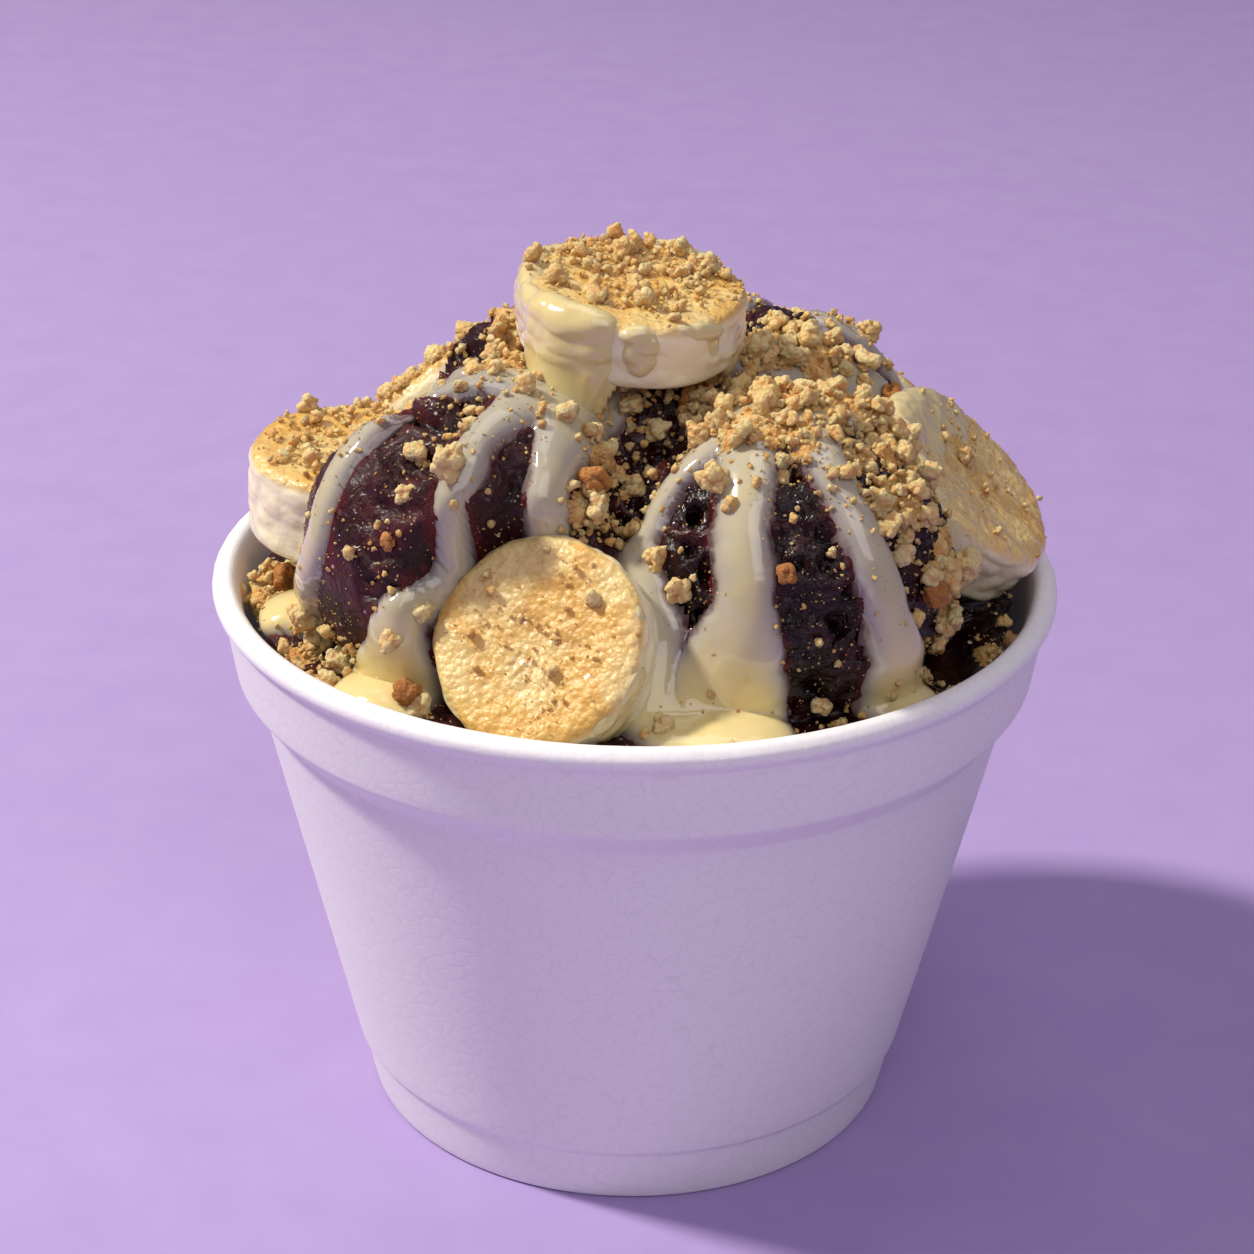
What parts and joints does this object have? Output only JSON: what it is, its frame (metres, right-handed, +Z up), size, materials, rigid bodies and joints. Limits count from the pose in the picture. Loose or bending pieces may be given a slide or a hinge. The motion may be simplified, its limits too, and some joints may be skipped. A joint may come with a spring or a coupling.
{
  "type": "acai bowl",
  "caption": "Foam cup heaped with scoops of frozen acai, topped with thick banana slices, condensed milk and crumbs.",
  "frame": {"origin": "centre of the ring that the cup stands on, at the bottom of the cup", "axes": "+Z up the cup's axis; -Y is the serving side, where a banana slice leans at the rim; +X is the side where the heap leaves a pocket beside the wall"},
  "size_m": [0.115, 0.115, 0.1219],
  "materials": {
    "foam": "matte",
    "acai": "satin",
    "banana": "satin"
  },
  "bodies": {
    "root": {"cup": "foam", "acai": "acai", "banana_top": "banana", "banana_front": "banana", "banana_right": "banana", "banana_left": "banana", "banana_back_left": "banana", "banana_back": "banana", "banana_back_right": "banana"}
  },
  "joints": []
}
